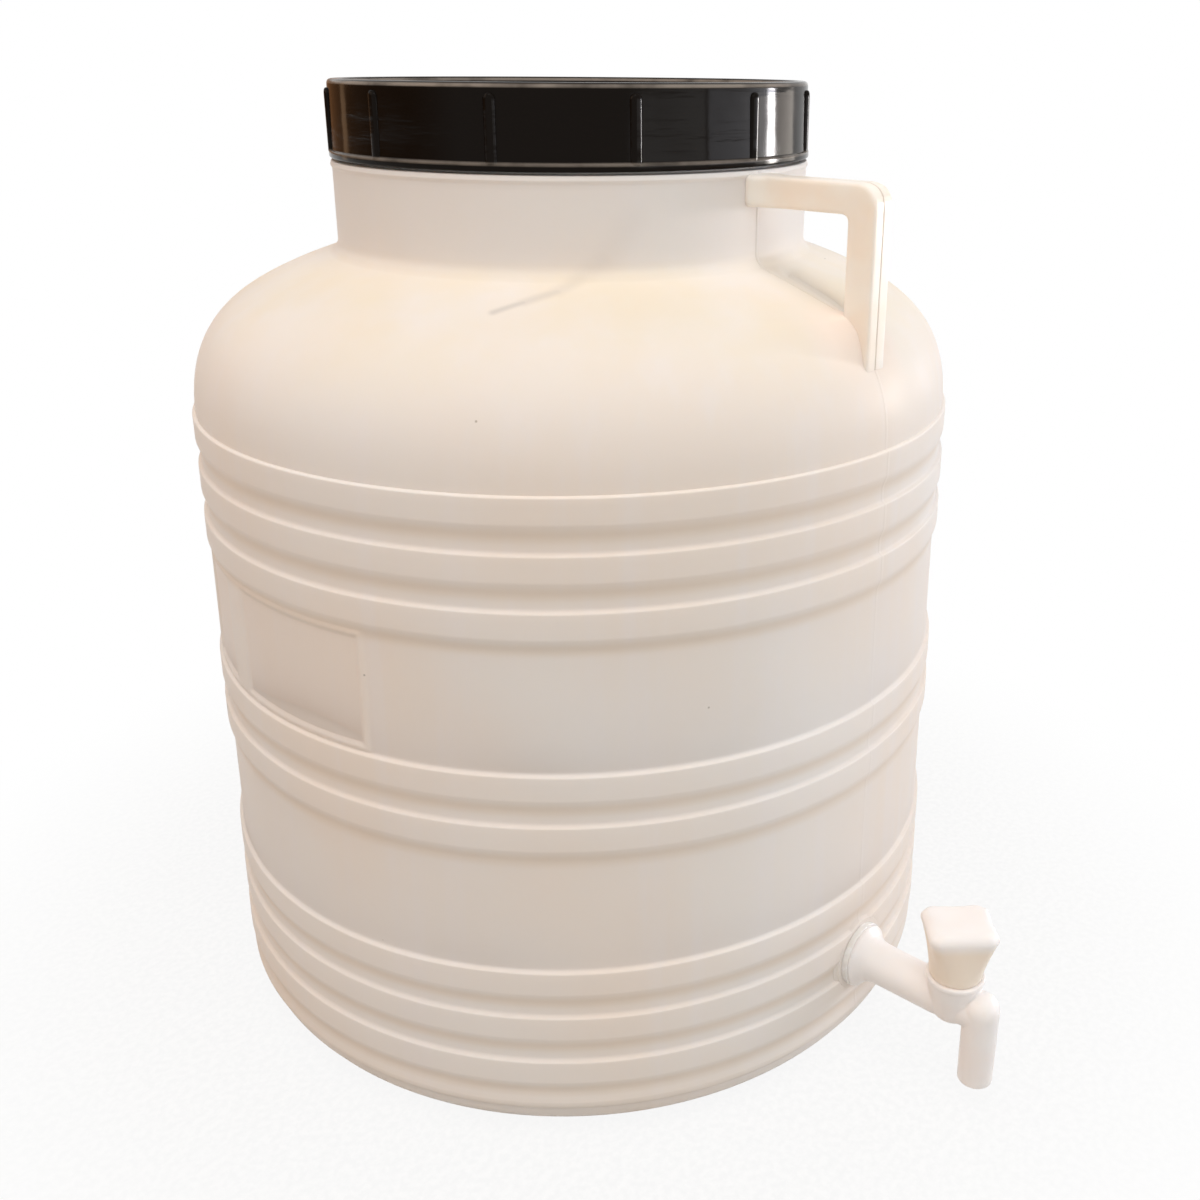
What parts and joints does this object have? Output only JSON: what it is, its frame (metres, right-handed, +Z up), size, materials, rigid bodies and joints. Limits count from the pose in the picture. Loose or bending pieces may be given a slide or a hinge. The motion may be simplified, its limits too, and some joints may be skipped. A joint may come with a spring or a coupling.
{
  "type": "food drum with tap",
  "caption": "Ribbed blow-moulded food drum with a wide neck, ribbed screw cap, two loop handles beside the neck and a draw-off tap near the base.",
  "frame": {"origin": "on the drum's axis, at the level of the ring it stands on; the base panel is pushed up 3 mm above it", "axes": "+Z up along the drum's axis, -Y the way the tap points, both handles in the YZ plane"},
  "size_m": [0.428, 0.5121, 0.518],
  "materials": {
    "drum_polyethylene": "natural high-density polyethylene, satin, slightly translucent",
    "cap_polypropylene": "gloss black moulded",
    "seal_foam": "closed-cell foam",
    "tap_polyethylene": "cream moulded, soft satin",
    "washer_rubber": "matt"
  },
  "bodies": {
    "drum": {"drum_body": "drum_polyethylene", "tap_body": "tap_polyethylene", "tap_nut": "tap_polyethylene", "tap_washer_outer": "washer_rubber", "tap_washer_inner": "washer_rubber"},
    "seal": {"lid_seal": "seal_foam"},
    "cap": {"lid_cap": "cap_polypropylene"},
    "key": {"tap_key": "tap_polyethylene"}
  },
  "joints": [
    {"name": "lid_lift", "type": "slide", "parent": "drum", "child": "seal", "axis": [0, 0, 1], "range_m": [0, 0.037]},
    {"name": "lid_turn", "type": "hinge", "parent": "seal", "child": "cap", "pos_m": [0, 0, 0.515], "axis": [0, 0, 1], "range_deg": [0, 1080]},
    {"name": "key_turn", "type": "hinge", "parent": "drum", "child": "key", "pos_m": [0, -0.272, 0.0575], "axis": [0, 0, 1], "range_deg": [0, 90]}
  ],
  "couplings": [
    {"joint": "lid_lift", "follows": "lid_turn", "m_per_rad": 0.0019099}
  ]
}
